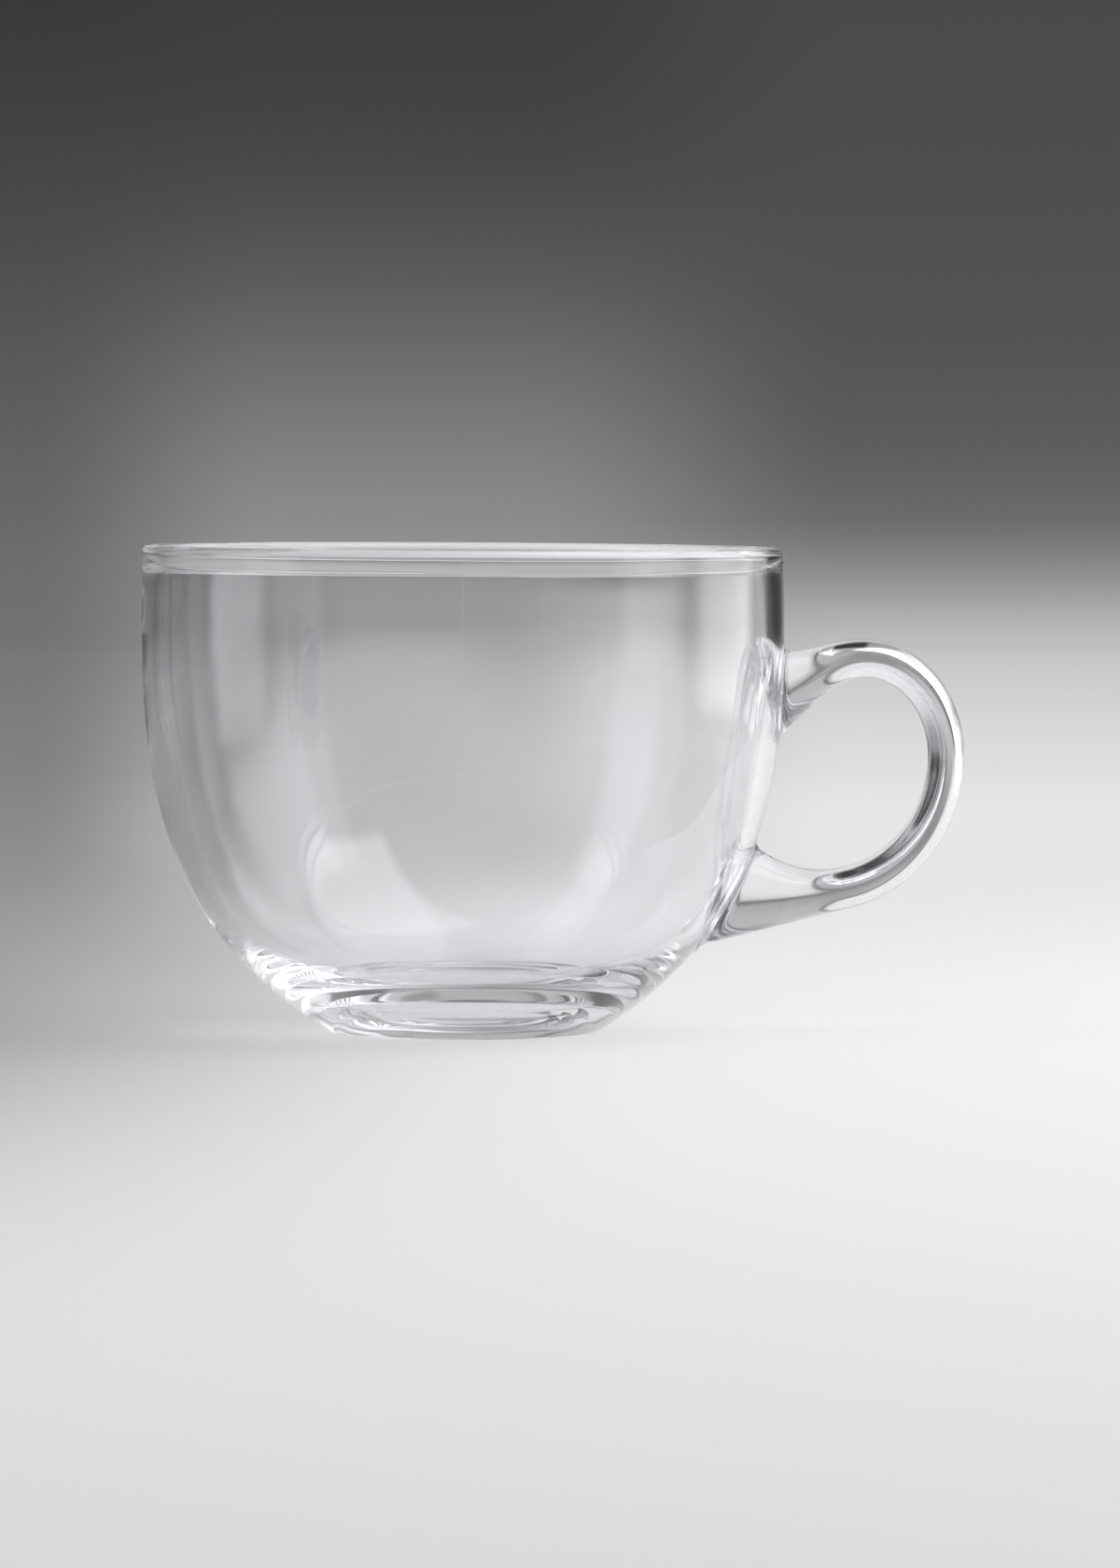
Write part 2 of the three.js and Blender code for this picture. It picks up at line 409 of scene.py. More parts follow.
@dataclass
class Handle:
    """The loop: lofted between its outer edge and the finger gap's edge, in millimetres."""

    bowl: Bowl
    width: float = 15.5
    outer_squareness: float = 2.65
    inner_squareness: float = 1.9
    crown_out: float = 14.0
    belly_out: float = 6.4
    gap_depth: float = 25.1
    gap_top: float = 61.7
    gap_bottom: float = 28.3
    side_height: float = 48.2
    crown_thickness: float = 6.8
    side_thickness: float = 6.3
    belly_thickness: float = 7.3
    upper_root_top: float = 66.3
    upper_root_bottom: float = 51.6
    lower_root_bottom: float = 14.2
    root_fillet: float = 1.2
    root_embed: float = 2.5
    seal_depth: float = 0.2
    seat_gaps: tuple[float, ...] = (0.0, 0.02, 0.06, 0.13, 0.24, 0.4, 0.65)
    clear_gap: float = 2.0
    shoulder_share: float = 0.5
    throat_share: float = 1 / 3
    brow_share: float = 0.6
    belly_sink: float = 7.5
    seam_height: float = 0.012
    seam_width: float = 0.5
    seam_shares: tuple[float, ...] = (0.0035, 0.011)
    quarter_steps: int = 18
    loop_steps: int = 36
    root_steps: int = 22
    cap_steps: int = 4
    search_steps: int = 26
    settle_steps: int = 3

    def inside_wall(self, height: float, drop: float = 0.0) -> Point:
        """Return a point sunk in the bowl's wall, a drop below the height that it belongs to."""
        return (self.bowl.wall_at(height)[0] - self.root_embed, height - drop)

    def outer_edge(self, station: float) -> Point:
        """Return the loop's outer edge in side view.

        Args:
            station: 0 to 1 along the upper root, to 2 and 3 along the two quarters of the loop, and to 4
                along the lower root.

        Returns:
            The distance from the bowl's axis and the height.
        """
        wall = self.bowl.radius
        crown = (wall + self.crown_out, self.gap_top + self.crown_thickness)
        belly = (wall + self.belly_out, self.gap_bottom - self.belly_thickness)
        side = wall + self.gap_depth + self.side_thickness
        if station < 1:
            middle = wall + self.crown_out * self.shoulder_share
            root = self.inside_wall(self.upper_root_top)
            return cubic([root, (middle, self.upper_root_top), (middle, crown[1]), crown], station)
        if station < 2:
            turn = (2 - station) * math.pi / 2
            return (
                crown[0] + (side - crown[0]) * math.cos(turn),
                self.side_height + (crown[1] - self.side_height) * math.sin(turn),
            )
        half_width = side - belly[0]
        half_height = self.side_height - belly[1]
        root = self.inside_wall(self.lower_root_bottom)
        slope = (belly[1] - root[1]) / (belly[0] - root[0])
        last_turn = math.pi / 2 - math.atan(slope * half_width / half_height)
        turn = last_turn * min(station - 2, 1.0)
        place = (
            belly[0] + half_width * math.cos(turn),
            self.side_height - half_height * math.sin(turn),
        )
        if station <= 3:
            return place
        return (blend(place[0], root[0], station - 3), blend(place[1], root[1], station - 3))

    def inner_edge(self, station: float) -> Point:
        """Return the finger gap's edge in side view, station for station with the outer edge.

        Args:
            station: The same count along the loop as for the outer edge.

        Returns:
            The distance from the bowl's axis and the height.
        """
        wall = self.bowl.radius
        crown = (wall + self.crown_out, self.gap_top)
        belly = (wall + self.belly_out, self.gap_bottom)
        side = wall + self.gap_depth
        if station < 1:
            root = self.inside_wall(self.upper_root_bottom, drop=self.root_embed)
            lean = self.crown_out * self.throat_share
            throat = (wall + lean, self.upper_root_bottom + lean)
            brow = (wall + self.crown_out * self.brow_share, crown[1])
            return cubic([root, throat, brow, crown], station)
        if station < 2:
            turn = (2 - station) * math.pi / 2
            return (
                crown[0] + (side - crown[0]) * math.cos(turn),
                self.side_height + (crown[1] - self.side_height) * math.sin(turn),
            )
        half_width = side - belly[0]
        half_height = self.side_height - belly[1]
        wall_turn = math.asin(min((self.belly_out + self.belly_sink) / half_width, 1.0))
        turn = (station - 2) * math.pi / 2 if station <= 3 else math.pi / 2 + wall_turn * (station - 3)
        return (
            belly[0] + half_width * math.cos(turn),
            self.side_height - half_height * math.sin(turn),
        )

    def section(self) -> list[float]:
        """Return the turns of the section's points, close together at the seams."""
        quarter = math.pi / 2
        seam = [share * quarter for share in self.seam_shares]
        regular = [quarter * step / self.quarter_steps for step in range(4 * self.quarter_steps)]
        beside = [centre + side * turn for centre in (0.0, math.pi) for turn in seam for side in (1, -1)]
        return sorted(turn % math.tau for turn in (*regular, *beside))

    def surface(self, station: float, turn: float) -> tuple[Vector, Vector]:
        """Return one point of the loop's surface before the roots are spread.

        Args:
            station: How far along the loop.
            turn: The point's turn about the section, from section().

        Returns:
            The point about the bowl's axis, in millimetres, and the way out of the glass there.
        """
        outer = Vector(self.outer_edge(station))
        inner = Vector(self.inner_edge(station))
        across = outer - inner
        half_depth = across.length / 2
        half_width = self.width / 2
        across.normalize()
        outwards, sideways = math.cos(turn), math.sin(turn)
        power = 2 / (self.outer_squareness if outwards > 0 else self.inner_squareness)
        depth = half_depth * signed_power(outwards, power)
        width = half_width * signed_power(sideways, power)
        normal = Vector(
            (
                signed_power(outwards, 2 - power) / half_depth,
                signed_power(sideways, 2 - power) / half_width,
            )
        ).normalized()
        ridge = max(0.0, 1 - abs(width) / self.seam_width)
        depth -= self.seam_height * normal.x * (1 - ridge)
        middle = (outer + inner) / 2
        place = Vector((middle.x + across.x * depth, width, middle.y + across.y * depth))
        return place, Vector((across.x * normal.x, normal.y, across.y * normal.x))

    def spread(self, station: float, turn: float) -> Vector:
        """Return one point of the loop's surface with the root's fillet.

        Args:
            station: How far along the loop.
            turn: The point's turn about the section, from section().

        Returns:
            The point about the bowl's axis, in millimetres.
        """
        plain, normal = self.surface(station, turn)
        rise = min(max(self.root_fillet - self.bowl.clearance(plain), 0.0), self.root_fillet)
        return plain + normal * (self.root_fillet - math.sqrt(self.root_fillet**2 - rise**2))

    def station_at(self, turn: float, gap: float, root: float, loop: float) -> float:
        """Find where one line of the loop comes within a gap of the wall.

        Args:
            turn: The line's turn about the section, from section().
            gap: The clearance to find.
            root: The station at the sunk end of the root.
            loop: A station that is clear of the wall.

        Returns:
            The station between root and loop.
        """
        near, far = root, loop
        for _ in range(self.search_steps):
            middle = (near + far) / 2
            if self.bowl.clearance(self.surface(middle, turn)[0]) < gap:
                near = middle
            else:
                far = middle
        return far

    def stations(self, turn: float) -> list[float]:
        """Return the stations of one line of the loop, close together where it spreads on to the wall."""
        gaps = (-self.seal_depth, *self.seat_gaps, self.root_fillet, self.clear_gap)
        upper = [self.station_at(turn, gap, 0.0, 1.0) for gap in gaps]
        lower = [self.station_at(turn, gap, 4.0, 3.0) for gap in gaps]
        rise = [blend(upper[-1], 1.0, step / self.root_steps) for step in range(1, self.root_steps)]
        loop = [1 + step / self.loop_steps for step in range(2 * self.loop_steps + 1)]
        fall = [blend(3.0, lower[-1], step / self.root_steps) for step in range(1, self.root_steps)]
        return [*upper, *rise, *loop, *fall, *reversed(lower)]

    def cap(self, ring: Sequence[Vector]) -> list[list[Vector]]:
        """Close one root with rings that follow the wall.

        Args:
            ring: The last ring of the loop, in millimetres about the bowl's axis.

        Returns:
            The rings inside it, ending in a ring of one point.
        """
        middle = sum(ring, Vector()) / len(ring)
        rings = []
        for share in (1 - step / self.cap_steps for step in range(1, self.cap_steps + 1)):
            inner = []
            for point in ring if share else ring[:1]:
                place = middle + (point - middle) * share
                for _ in range(self.settle_steps):
                    reach = math.hypot(place.x, place.y)
                    step = self.bowl.clearance(place) + self.seal_depth
                    place.x -= step * place.x / reach
                    place.y -= step * place.y / reach
                inner.append(place)
            rings.append(inner)
        return rings

    def build(self) -> bpy.types.Object:
        """Loft the loop and seat both roots in the bowl's wall.

        Returns:
            The handle, in the part's frame.
        """
        outline = self.section()
        lines = [[self.spread(station, turn) for station in self.stations(turn)] for turn in outline]
        rings = [list(ring) for ring in zip(*lines)]
        rings = [*reversed(self.cap(rings[0])), *rings, *self.cap(rings[-1])]
        vertices: list[Vector] = []
        numbers: list[list[int]] = []
        for ring in rings:
            start = len(vertices)
            vertices += [(point + Vector((self.bowl.axis_x, 0, 0))) * MM for point in ring]
            numbers.append([start + step % len(ring) for step in range(len(outline))])
        return mesh_object("cup_handle", vertices, bridge(numbers))


class MarkGroup(Enum):
    """The effects that both glasses share, each built once as a node group."""

    RIPPLE = "press_ripple"
    HANDLING = "handling_marks"


class Marks:
    """The shared surface effects: ripples and seeds left by making, and smears left by use."""

    RIPPLE_INPUTS: Values = {"Ripple Scale": 40.0, "Seed Scale": 60.0, "Seed Depth": 0.4}
    HANDLING_INPUTS: Values = {"Clean": 0.0, "Smeared": 0.06, "Scale": 25.0}
    RIPPLE_NOISE: Values = {"Detail": 1.0, "Roughness": 0.35}
    SMEAR_NOISE: Values = {"Detail": 5.0, "Distortion": 0.6}
    SEED_EDGE: Values = {"From Min": 0.015, "From Max": 0.045, "To Min": 1.0, "To Max": 0.0}
    SMEAR_EDGE: Values = {"From Min": 0.5, "From Max": 0.75}

    def __init__(self) -> None:
        """Build both groups."""
        self.groups = {MarkGroup.RIPPLE: self._ripple(), MarkGroup.HANDLING: self._handling()}

    @staticmethod
    def _group(kind: MarkGroup, inputs: Values, output: str) -> bpy.types.NodeTree:
        """Start a node group.

        Args:
            kind: Which effect it is.
            inputs: Each input's name and default value.
            output: The output's name.

        Returns:
            The group, with its input and output nodes named "In" and "Out".
        """
        group = bpy.data.node_groups.new(kind.value, "ShaderNodeTree")
        for name, value in inputs.items():
            socket = group.interface.new_socket(name, in_out="INPUT", socket_type="NodeSocketFloat")
            socket.default_value = value
        group.interface.new_socket(output, in_out="OUTPUT", socket_type="NodeSocketFloat")
        group.nodes.new("NodeGroupInput").name = "In"
        group.nodes.new("NodeGroupOutput").name = "Out"
        return group

    @staticmethod
    def _node(tree: bpy.types.NodeTree, kind: str, values: Values) -> bpy.types.Node:
        """Add one node and set its inputs.

        Args:
            tree: The nodes to add to.
            kind: The node's type.
            values: Each input's name and value.

        Returns:
            The node.
        """
        node = tree.nodes.new(kind)
        for name, value in values.items():
            node.inputs[name].default_value = value
        return node

    def _ripple(self) -> bpy.types.NodeTree:
        """Build slow ripples with a few small seeds.

        Returns:
            The group, which puts out a height of about 0 to 1, and less at a seed.
        """
        group = self._group(MarkGroup.RIPPLE, self.RIPPLE_INPUTS, "Height")
        nodes, link = group.nodes, group.links.new
        place = nodes.new("ShaderNodeTexCoord").outputs["Object"]
        ripple = self._node(group, "ShaderNodeTexNoise", self.RIPPLE_NOISE)
        link(place, ripple.inputs["Vector"])
        link(nodes["In"].outputs["Ripple Scale"], ripple.inputs["Scale"])
        seeds = nodes.new("ShaderNodeTexVoronoi")
        link(place, seeds.inputs["Vector"])
        link(nodes["In"].outputs["Seed Scale"], seeds.inputs["Scale"])
        dot = self._node(group, "ShaderNodeMapRange", self.SEED_EDGE)
        link(seeds.outputs["Distance"], dot.inputs["Value"])
        sunk = nodes.new("ShaderNodeMath")
        sunk.operation = "MULTIPLY"
        link(dot.outputs["Result"], sunk.inputs[0])
        link(nodes["In"].outputs["Seed Depth"], sunk.inputs[1])
        height = nodes.new("ShaderNodeMath")
        height.operation = "SUBTRACT"
        link(ripple.outputs["Fac"], height.inputs[0])
        link(sunk.outputs["Value"], height.inputs[1])
        link(height.outputs["Value"], nodes["Out"].inputs["Height"])
        return group

    def _handling(self) -> bpy.types.NodeTree:
        """Build soft smears.

        Returns:
            The group, which puts out a roughness between its two inputs.
        """
        group = self._group(MarkGroup.HANDLING, self.HANDLING_INPUTS, "Roughness")
        nodes, link = group.nodes, group.links.new
        place = nodes.new("ShaderNodeTexCoord").outputs["Object"]
        smear = self._node(group, "ShaderNodeTexNoise", self.SMEAR_NOISE)
        link(place, smear.inputs["Vector"])
        link(nodes["In"].outputs["Scale"], smear.inputs["Scale"])
        amount = self._node(group, "ShaderNodeMapRange", self.SMEAR_EDGE)
        link(smear.outputs["Fac"], amount.inputs["Value"])
        link(nodes["In"].outputs["Clean"], amount.inputs["To Min"])
        link(nodes["In"].outputs["Smeared"], amount.inputs["To Max"])
        link(amount.outputs["Result"], nodes["Out"].inputs["Roughness"])
        return group

    def place(self, tree: bpy.types.NodeTree, kind: MarkGroup, values: Values) -> bpy.types.Node:
        """Put one effect in a material with its own values.

        Args:
            tree: The material's nodes.
            kind: Which effect.
            values: The inputs to set.

        Returns:
            The placed node.
        """
        node = tree.nodes.new("ShaderNodeGroup")
        node.node_tree = self.groups[kind]
        for name, value in values.items():
            node.inputs[name].default_value = value
        return node


@dataclass(frozen=True)
class GlassFinish:
    """Clear soda-lime glass: its bending of light, its tint in depth and the marks of its making."""

    name: str
    colour: tuple[float, float, float]
    tint: tuple[float, float, float]
    tint_density: float
    clean_roughness: float
    smeared_roughness: float
    ripple_height: float
    ripple_scale: float
    seed_scale: float
    ior: float = 1.52
    lamp_share: tuple[float, float, float] = (0.985, 0.988, 0.988)

    def material(self, marks: Marks) -> bpy.types.Material:
        """Build the glass with its surface marks.

        Args:
            marks: The shared effects.

        Returns:
            The material.
        """
        material = bpy.data.materials.new(self.name)
        material.use_nodes = True
        tree = material.node_tree
        tree.nodes.clear()
        glass = tree.nodes.new("ShaderNodeBsdfPrincipled")
        glass.inputs["Base Color"].default_value = (*self.colour, 1.0)
        glass.inputs["IOR"].default_value = self.ior
        glass.inputs["Transmission Weight"].default_value = 1.0
        smears = marks.place(
            tree,
            MarkGroup.HANDLING,
            {"Clean": self.clean_roughness, "Smeared": self.smeared_roughness},
        )
        tree.links.new(smears.outputs["Roughness"], glass.inputs["Roughness"])
        ripple = marks.place(
            tree,
            MarkGroup.RIPPLE,
            {"Ripple Scale": self.ripple_scale, "Seed Scale": self.seed_scale},
        )
        bump = tree.nodes.new("ShaderNodeBump")
        bump.inputs["Strength"].default_value = 1.0
        bump.inputs["Distance"].default_value = self.ripple_height * MM
        tree.links.new(ripple.outputs["Height"], bump.inputs["Height"])
        tree.links.new(bump.outputs["Normal"], glass.inputs["Normal"])
        lamp_way = tree.nodes.new("ShaderNodeBsdfTransparent")
        lamp_way.inputs["Color"].default_value = (*self.lamp_share, 1.0)
        path = tree.nodes.new("ShaderNodeLightPath")
        choose = tree.nodes.new("ShaderNodeMixShader")
        depth = tree.nodes.new("ShaderNodeVolumeAbsorption")
        depth.inputs["Color"].default_value = (*self.tint, 1.0)
        depth.inputs["Density"].default_value = self.tint_density
        out = tree.nodes.new("ShaderNodeOutputMaterial")
        tree.links.new(path.outputs["Is Shadow Ray"], choose.inputs["Fac"])
        tree.links.new(glass.outputs["BSDF"], choose.inputs[1])
        tree.links.new(lamp_way.outputs["BSDF"], choose.inputs[2])
        tree.links.new(choose.outputs["Shader"], out.inputs["Surface"])
        tree.links.new(depth.outputs["Volume"], out.inputs["Volume"])
        return material


def soft_edges(
    tree: bpy.types.NodeTree, across: Socket, axes: Sequence[str], edge: float
) -> Socket:
    """Build a mask that is 1 in the middle of a panel and eases to 0 at its edges.

    Args:
        tree: The nodes to build in.
        across: A place on the panel that runs from 0 to 1 along each axis.
        axes: The axes to fade along, such as "X" and "Y".
        edge: The share of the panel that each edge takes.

    Returns:
        The mask.
    """
    parts = tree.nodes.new("ShaderNodeSeparateXYZ")
    tree.links.new(across, parts.inputs["Vector"])
    mask = None
    for axis in axes:
        inward = tree.nodes.new("ShaderNodeMath")
        inward.operation = "PINGPONG"
        inward.inputs[1].default_value = 0.5
        tree.links.new(parts.outputs[axis], inward.inputs[0])
        fade = tree.nodes.new("ShaderNodeMapRange")
        fade.interpolation_type = "SMOOTHSTEP"
        fade.inputs["From Max"].default_value = edge
        tree.links.new(inward.outputs["Value"], fade.inputs["Value"])
        if mask is None:
            mask = fade.outputs["Result"]
            continue
        both = tree.nodes.new("ShaderNodeMath")
        both.operation = "MULTIPLY"
        tree.links.new(mask, both.inputs[0])
        tree.links.new(fade.outputs["Result"], both.inputs[1])
        mask = both.outputs["Value"]
    return mask


@dataclass(frozen=True)
class Lamp:
    """One soft rectangular lamp with faded edges, in metres: its brightness is against a white of 1."""

    name: str
    place: tuple[float, float, float]
    target: tuple[float, float, float]
    size: tuple[float, float]
    brightness: float
    edge: float = 0.2
    roll: float = 0.0

    def build(self) -> None:
        """Hang the lamp in the scene."""
        light = bpy.data.lights.new(self.name, "AREA")
        light.shape = "RECTANGLE"
        light.size, light.size_y = self.size
        light.energy = self.brightness * math.pi * self.size[0] * self.size[1]
        self.fade_edges(light)
        lamp = bpy.data.objects.new(self.name, light)
        lamp.location = self.place
        aim = (Vector(self.target) - Vector(self.place)).to_track_quat("-Z", "Y")
        lamp.rotation_euler = (aim @ Quaternion((0, 0, 1), math.radians(self.roll))).to_euler()
        lamp.visible_camera = False
        bpy.context.scene.collection.objects.link(lamp)

    def fade_edges(self, light: bpy.types.Light) -> None:
        """Dim the lamp towards its edges, as cloth over a frame does.

        Args:
            light: The lamp's data.
        """
        light.use_nodes = True
        tree = light.node_tree
        across = tree.nodes.new("ShaderNodeNewGeometry").outputs["Parametric"]
        strength = soft_edges(tree, across, ("X", "Y"), self.edge)
        tree.links.new(strength, tree.nodes["Emission"].inputs["Strength"])


@dataclass(frozen=True)
class Card:
    """One standing glowing grey card out of the picture, in metres, that the glass shows as a painted dark or
    pale edge.
    """

    name: str
    near: Point
    far: Point
    heights: Point
    grey: float
    edge: float

    def build(self) -> None:
        """Stand the card in the studio, where only the glass sees it."""
        feet = (self.near, self.far)
        corners = [Vector((*foot, height)) for height in self.heights for foot in feet]
        card = mesh_object(self.name, corners, [(0, 1, 3, 2)])
        material = bpy.data.materials.new(self.name)
        material.use_nodes = True
        tree = material.node_tree
        tree.nodes.clear()
        clear = tree.nodes.new("ShaderNodeBsdfTransparent")
        # Painted reflection: the card glows a fixed grey whatever the lamps give it, and only the glass sees
        # it; the dark cards stand in for shade in the room, the pale one for light.
        grey = tree.nodes.new("ShaderNodeEmission")
        grey.inputs["Color"].default_value = (self.grey, self.grey, self.grey, 1.0)
        shown = tree.nodes.new("ShaderNodeMixShader")
        out = tree.nodes.new("ShaderNodeOutputMaterial")
        across = tree.nodes.new("ShaderNodeTexCoord").outputs["Generated"]
        tree.links.new(soft_edges(tree, across, ("X", "Z"), self.edge), shown.inputs["Fac"])
        tree.links.new(clear.outputs["BSDF"], shown.inputs[1])
        tree.links.new(grey.outputs["Emission"], shown.inputs[2])
        tree.links.new(shown.outputs["Shader"], out.inputs["Surface"])
        card.data.materials.append(material)
        card.visible_camera = False
        card.visible_diffuse = False
        card.visible_shadow = False


@dataclass
class Studio:
    """The pale floor, its sweep up into a grey backdrop, the soft lamps and the cards, in metres."""

    floor_rings: tuple[float, ...] = (0.0, 0.25, 0.7, 1.4, 2.2)
    floor_radius: float = 3.0
    sweep: float = 0.8
    sweep_steps: int = 24
    wall_height: float = 2.2
    floor_gap: float = 0.0001
    around: int = 96
    paper_white: float = 0.92
    paper_roughness: float = 0.9
    bright_middle: Point = (0.0, -0.6)
    far_start: float = 0.75
    far_full: float = 1.5
    glare_reach: Point = (0.12, 0.3)
    # Painted light and shade of the far floor and wall: each row is the way along, then the grey of the left,
    # the middle and the right column.
    greys: tuple[tuple[float, float, float, float], ...] = (
        (0.75, 0.38, 0.74, 0.87),
        (1.1, 0.28, 0.60, 0.85),
        (1.8, 0.22, 0.45, 0.76),
        (3.2, 0.18, 0.31, 0.52),
        (3.6, 0.17, 0.31, 0.50),
        (3.72, 0.165, 0.30, 0.43),
        (3.82, 0.16, 0.29, 0.30),
        (3.95, 0.145, 0.28, 0.13),
        (4.2, 0.10, 0.15, 0.088),
        (4.43, 0.063, 0.06, 0.078),
        (4.66, 0.036, 0.045, 0.066),
    )
    fan_start: float = 1.5
    fan_least: float = 0.3
    left_reach: Point = (-0.062, -0.032)
    right_reach: Point = (-0.005, 0.035)
    # Painted shade on the paper: its white falls to this grey at the left of the cup, more so towards the
    # back.
    shaded_white: float = 0.4
    shade_reach: Point = (-0.17, 0.06)
    shade_depth: Point = (-0.75, 0.1)
    # Painted reflection: above these heights the glass sees the wall as this paler grey, while the camera
    # sees the darker column tone.
    upper_greys: Point = (0.5, 0.47)
    upper_reach: Point = (-0.25, 0.0)
    upper_heights: Point = (0.06, 0.3)
    lamps: tuple[Lamp, ...] = (
        Lamp("left_roof", (-1.15, -0.22, 1.3), (-1.15, -0.22, 0.0), (1.8, 0.6), 0.8, 0.2, 24.3),
        Lamp("right_roof", (0.93, -0.29, 1.3), (0.93, -0.29, 0.0), (2.0, 1.4), 1.9, 0.12, -45.0),
        Lamp("left_window", (-0.86, -0.24, 0.5), (0.0, 0.0, 0.3), (0.5, 1.0), 1.0, 0.25),
        Lamp("right_window", (0.89, 0.05, 0.5), (0.0, 0.0, 0.3), (1.1, 0.9), 1.8, 0.3),
        Lamp("right_near", (0.35, 0.1, 0.055), (0.0, 0.1, 0.055), (0.28, 0.11), 2.0, 0.25),
        Lamp("right_low", (0.8, -0.3, 0.09), (0.0, -0.3, 0.09), (0.5, 0.24), 0.8, 0.25),
        Lamp("right_front", (0.78, -0.36, 0.5), (0.0, 0.0, 0.3), (0.36, 0.9), 0.8, 0.25),
        Lamp("right_back", (0.95, 0.85, 0.85), (0.0, 0.0, 0.1), (1.0, 1.2), 0.7, 0.3),
    )
    # Painted reflections: glowing grey cards that only the glass sees; the columns are name, near foot, far
    # foot, heights, grey and edge.
    cards: tuple[Card, ...] = (
        Card("left_dark", (-0.42, 0.6), (-0.85, 0.08), (-0.03, 0.4), 0.03, 0.2),
        Card("right_grey", (0.02, 0.6), (0.2, 0.6), (-0.03, 0.37), 0.28, 0.3),
        Card("right_pale", (0.62, 0.75), (0.85, 0.45), (0.0, 0.3), 0.85, 0.3),
        Card("right_card", (0.144, 0.58), (0.54, 0.58), (0.0, 0.3), 0.05, 0.15),
        Card("back_flag", (0.35, 1.0), (-2.0, 1.0), (0.75, 3.7), 0.03, 0.08),
    )
    room_grey: float = 0.38

    def build(self) -> None:
        """Make the floor and backdrop, the lamps and the dim room."""
        floor = mesh_object("studio_floor", *self.shape())
        floor.data.materials.append(self.paper())
        floor.location.z = -self.floor_gap
        for fitting in (*self.lamps, *self.cards):
            fitting.build()
        world = bpy.data.worlds.new("dim_room")
        world.use_nodes = True
        room = world.node_tree.nodes["Background"]
        room.inputs["Color"].default_value = (self.room_grey, self.room_grey, self.room_grey, 1.0)
        bpy.context.scene.world = world

    def shape(self) -> tuple[list[Vector], list[list[int]]]:
        """Revolve the floor and its sweep.

        Returns:
            The vertices and faces.
        """
        rows = [(radius, 0.0) for radius in self.floor_rings]
        rows += arc((self.floor_radius, self.sweep), self.sweep, -math.pi / 2, 0.0, self.sweep_steps)
        rows += [(self.floor_radius + self.sweep, self.wall_height)]
        vertices: list[Vector] = []
        rings = []
        for radius, height in rows:
            start = len(vertices)
            count = self.around if radius else 1
            for step in range(count):
                angle = 2 * math.pi * step / self.around
                vertices.append(Vector((radius * math.cos(angle), radius * math.sin(angle), height)))
            rings.append([start + step % count for step in range(self.around)])
        return vertices, bridge(rings)

    @staticmethod
    def eased(
        tree: bpy.types.NodeTree, value: Socket, reach: Sequence[float], ends: Sequence[float]
    ) -> Socket:
        """Build a smooth step between two values.

        Args:
            tree: The nodes to build in.
            value: What the step follows.
            reach: The values where the step starts and ends.
            ends: What it puts out before and after.

        Returns:
            The stepped value.
        """
        step = tree.nodes.new("ShaderNodeMapRange")
        step.interpolation_type = "SMOOTHSTEP"
        for name, number in zip(("From Min", "From Max", "To Min", "To Max"), (*reach, *ends)):
            step.inputs[name].default_value = number
        tree.links.new(value, step.inputs["Value"])
        return step.outputs["Result"]

    @staticmethod
    def worked(
        tree: bpy.types.NodeTree, operation: str, first: Socket, second: Socket | float
    ) -> Socket:
        """Build one sum of two values.

        Args:
            tree: The nodes to build in.
            operation: The kind of sum, such as "ADD".
            first: The first value.
            second: The second value, from a node or plain.

        Returns:
            The result.
        """
        node = tree.nodes.new("ShaderNodeMath")
        node.operation = operation
        tree.links.new(first, node.inputs[0])
        if isinstance(second, float):
            node.inputs[1].default_value = second
        else:
            tree.links.new(second, node.inputs[1])
        return node.outputs["Value"]

    @staticmethod
    def mixed(tree: bpy.types.NodeTree, share: Socket, low: Socket, high: Socket) -> Socket:
        """Build a blend of two colours.

        Args:
            tree: The nodes to build in.
            share: How much of the second colour is used.
            low: The first colour.
            high: The second colour.

        Returns:
            The blended colour.
        """
        node = tree.nodes.new("ShaderNodeMixRGB")
        for name, socket in (("Fac", share), ("Color1", low), ("Color2", high)):
            tree.links.new(socket, node.inputs[name])
        return node.outputs["Color"]

    def column(self, tree: bpy.types.NodeTree, along: Socket, place: int) -> Socket:
        """Build the tones of one column of the backdrop.

        Args:
            tree: The nodes to build in.
            along: The way along the floor and up the wall.
            place: 1 for the left column, 2 for the middle and 3 for the right.

        Returns:
            The column's colour.
        """
        longest = self.greys[-1][0]
        fade = tree.nodes.new("ShaderNodeValToRGB")
        ramp = fade.color_ramp
        ramp.interpolation = "B_SPLINE"
        while len(ramp.elements) < len(self.greys):
            ramp.elements.new(0.5)
        for element, row in zip(ramp.elements, self.greys):
            element.position = row[0] / longest
            element.color = (row[place], row[place], row[place], 1.0)
        tree.links.new(self.worked(tree, "DIVIDE", along, longest), fade.inputs["Fac"])
        return fade.outputs["Color"]

    def painted_far_light(
        self,
        tree: bpy.types.NodeTree,
        parts: bpy.types.Node,
        along: Socket,
        looked_at: Socket,
    ) -> Socket:
        """Build the painted light and shade of the far floor and wall: a glowing grey, dark at the left, pale
        low down at the right.

        Args:
            tree: The nodes to build in.
            parts: The place on the paper, split along the axes.
            along: The way along the floor and up the wall.
            looked_at: 1 where the camera looks straight at the paper.

        Returns:
            The grey.
        """
        depth = self.worked(tree, "ADD", parts.outputs["Y"], self.fan_start)
        depth = self.worked(tree, "MAXIMUM", depth, self.fan_least)
        across = self.worked(tree, "DIVIDE", parts.outputs["X"], depth)
        left, middle, right = (self.column(tree, along, place) for place in (1, 2, 3))
        tone = self.mixed(tree, self.eased(tree, across, self.left_reach, (0.0, 1.0)), left, middle)
        tone = self.mixed(tree, self.eased(tree, across, self.right_reach, (0.0, 1.0)), tone, right)
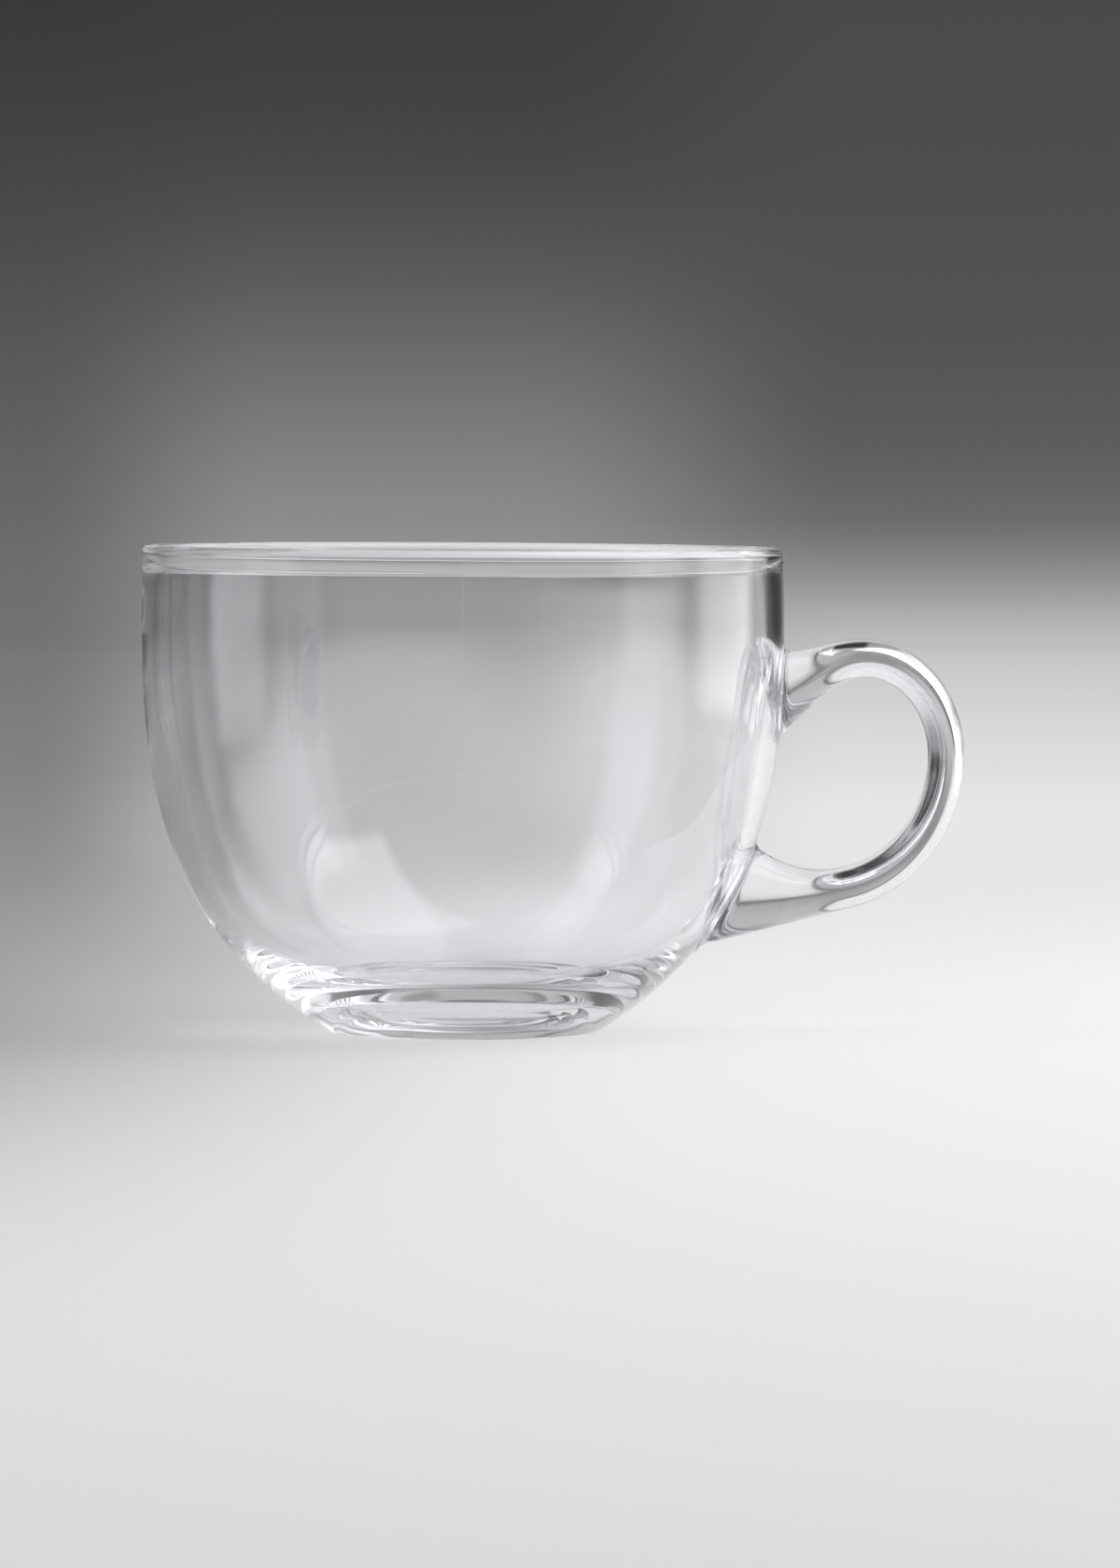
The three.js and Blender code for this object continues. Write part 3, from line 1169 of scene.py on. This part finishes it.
        # Painted reflection: high on the wall, the glass sees a paler grey than the camera does.
        upper = self.eased(tree, parts.outputs["Z"], self.upper_heights, (0.0, 1.0))
        unseen = self.worked(tree, "SUBTRACT", upper, looked_at)
        unseen.node.use_clamp = True
        return self.mixed(tree, unseen, tone, self.eased(tree, across, self.upper_reach, self.upper_greys))

    def paper(self) -> bpy.types.Material:
        """Build the pale paper, lit near the cup with painted shade at its left, and a glowing grey of
        painted light and shade far from it.

        Returns:
            The material.
        """
        material = bpy.data.materials.new("studio_paper")
        material.use_nodes = True
        tree = material.node_tree
        nodes, link = tree.nodes, tree.links.new
        paper = nodes["Principled BSDF"]
        paper.inputs["Roughness"].default_value = self.paper_roughness
        paper.inputs["Specular IOR Level"].default_value = 0.0
        parts = nodes.new("ShaderNodeSeparateXYZ")
        link(nodes.new("ShaderNodeNewGeometry").outputs["Position"], parts.inputs["Vector"])
        # Painted shade: the paper's own colour darkens to the left of the cup, more so towards the back, as a
        # soft shadow over the left of the floor.
        shade = self.worked(
            tree,
            "MULTIPLY",
            self.eased(tree, parts.outputs["X"], self.shade_reach, (1.0, 0.0)),
            self.eased(tree, parts.outputs["Y"], self.shade_depth, (0.0, 1.0)),
        )
        whites = (self.paper_white, self.shaded_white)
        link(self.eased(tree, shade, (0.0, 1.0), whites), paper.inputs["Base Color"])
        flat = nodes.new("ShaderNodeCombineXYZ")
        link(parts.outputs["X"], flat.inputs["X"])
        link(parts.outputs["Y"], flat.inputs["Y"])
        reach = nodes.new("ShaderNodeVectorMath")
        reach.operation = "DISTANCE"
        reach.inputs[1].default_value = (*self.bright_middle, 0.0)
        link(flat.outputs["Vector"], reach.inputs[0])
        along = self.worked(tree, "ADD", reach.outputs["Value"], parts.outputs["Z"])
        path = nodes.new("ShaderNodeLightPath")
        # Painted light: the far floor and wall glow their grey for the camera and the glass, whatever the
        # lamps give them; near the cup the lit paper keeps the object's shadow.
        glow = nodes.new("ShaderNodeEmission")
        link(self.painted_far_light(tree, parts, along, path.outputs["Is Camera Ray"]), glow.inputs["Color"])
        far = self.eased(tree, along, (self.far_start, self.far_full), (0.0, 1.0))
        # Beside the lamps the floor is overlit, so the camera sees the painted grey of the far floor there
        # instead of the lit paper.
        glare = self.eased(tree, parts.outputs["X"], self.glare_reach, (0.0, 1.0))
        dimmed = self.worked(tree, "MULTIPLY", glare, path.outputs["Is Camera Ray"])
        far = self.worked(tree, "MAXIMUM", far, dimmed)
        seen = path.outputs["Is Camera Ray"]
        for way in ("Is Glossy Ray", "Is Transmission Ray"):
            seen = self.worked(tree, "MAXIMUM", seen, path.outputs[way])
        mix = nodes.new("ShaderNodeMixShader")
        link(self.worked(tree, "MULTIPLY", seen, far), mix.inputs["Fac"])
        link(paper.outputs["BSDF"], mix.inputs[1])
        link(glow.outputs["Emission"], mix.inputs[2])
        link(mix.outputs["Shader"], nodes["Material Output"].inputs["Surface"])
        return material


@dataclass
class PhotoCamera:
    """The camera at the photograph's viewing angle, in metres."""

    distance: float = 1.5
    height: float = 0.104
    target: tuple[float, float, float] = (0.0012, 0.0, 0.0432)
    frame_height: float = 0.2737
    sensor: float = 36.0

    def build(self) -> None:
        """Make the camera and give it to the scene."""
        data = bpy.data.cameras.new("photo_camera")
        place = Vector((self.target[0], -self.distance, self.height))
        aim = Vector(self.target) - place
        data.sensor_width = self.sensor
        data.lens = self.sensor * aim.length / self.frame_height
        camera = bpy.data.objects.new("photo_camera", data)
        camera.location = place
        camera.rotation_euler = aim.to_track_quat("-Z", "Y").to_euler()
        bpy.context.scene.collection.objects.link(camera)
        bpy.context.scene.camera = camera


def main() -> None:
    """Build the cup and its studio."""
    logging.basicConfig(level=logging.INFO, format="%(name)s: %(message)s")
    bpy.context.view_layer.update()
    bpy.context.scene.view_settings.view_transform = "Standard"
    for limit in ("max_bounces", "glossy_bounces", "transmission_bounces"):
        setattr(bpy.context.scene.cycles, limit, GLASS_BOUNCES)
    PhotoCamera().build()
    Studio().build()
    bowl = Bowl()
    handle = Handle(bowl)
    marks = Marks()
    pale_violet = (0.984, 0.982, 1.0)
    bowl_glass = GlassFinish(
        name="bowl_glass",
        colour=pale_violet,
        tint=(0.84, 0.86, 0.87),
        tint_density=6.0,
        clean_roughness=0.0,
        smeared_roughness=0.04,
        ripple_height=0.02,
        ripple_scale=40.0,
        seed_scale=45.0,
    )
    handle_glass = GlassFinish(
        name="handle_glass",
        colour=pale_violet,
        tint=(0.70, 0.78, 0.78),
        tint_density=9.0,
        clean_roughness=0.05,
        smeared_roughness=0.08,
        ripple_height=0.001,
        ripple_scale=60.0,
        seed_scale=60.0,
    )
    pieces = (
        (bowl, bowl_glass, "bowl", "bowl_glass"),
        (handle, handle_glass, "handle", "handle_glass"),
    )
    for part, finish, node, slot in pieces:
        piece = part.build()
        piece.data.materials.append(finish.material(marks))
        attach(piece, BODY)
        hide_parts(node)
        LOG.info("%s stands for %s: %d faces", piece.name, node, len(piece.data.polygons))


if __name__ == "__main__":
    main()
